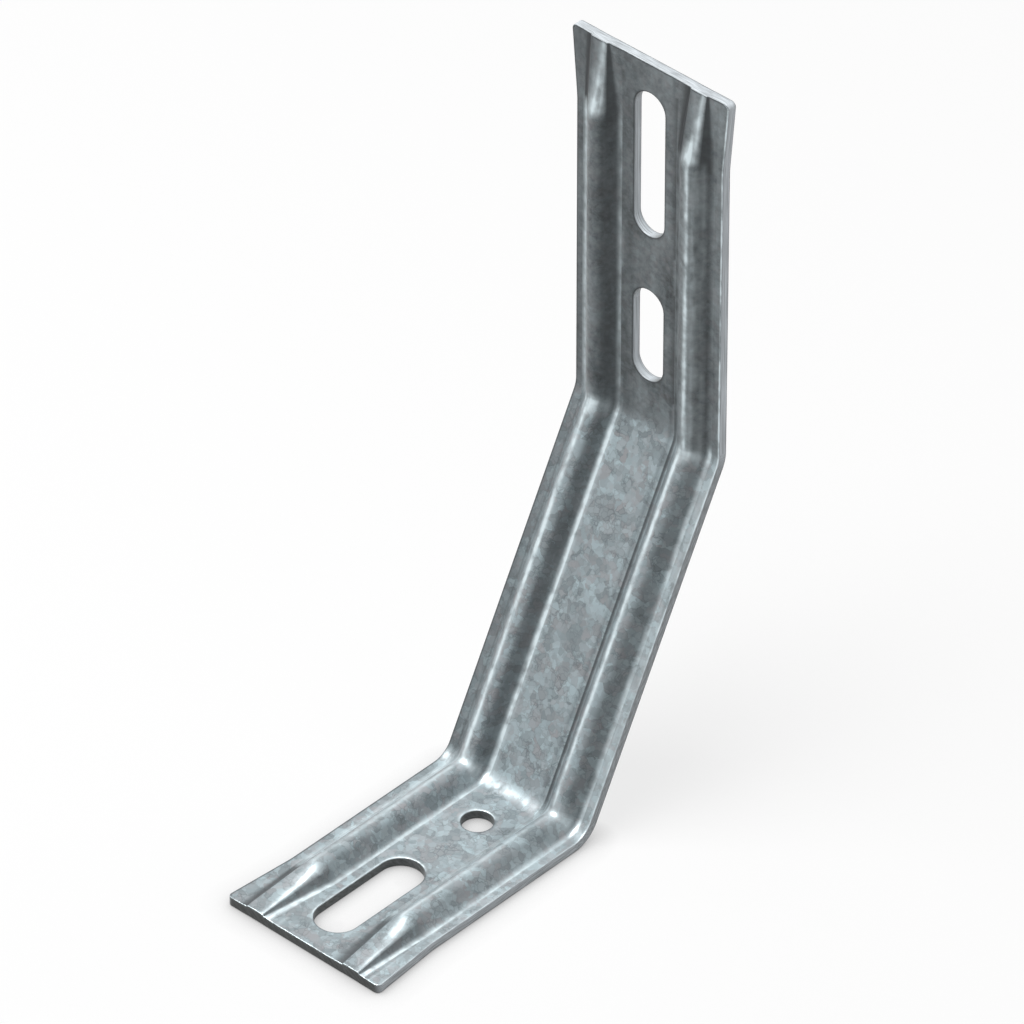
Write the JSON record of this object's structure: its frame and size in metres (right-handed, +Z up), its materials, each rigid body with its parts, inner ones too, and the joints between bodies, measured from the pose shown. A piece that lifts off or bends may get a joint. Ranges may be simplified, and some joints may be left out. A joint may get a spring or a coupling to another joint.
{
  "type": "window frame fixing bracket",
  "caption": "Bent strip of galvanised sheet steel with pressed stiffening ridges and slotted legs, for fixing a window frame to a wall.",
  "frame": {"origin": "axis of the round screw hole, in the plane of the lower leg's underside", "axes": "+X across the strip, -Y along the lower leg to its free end, +Z up along the upper leg; the ridges are raised on the inner side of the bends"},
  "size_m": [0.04, 0.0996, 0.1576],
  "materials": {
    "galvanised_steel": "zinc coating with a fine grey spangle"
  },
  "bodies": {
    "root": {"bracket": "galvanised_steel"}
  },
  "joints": []
}
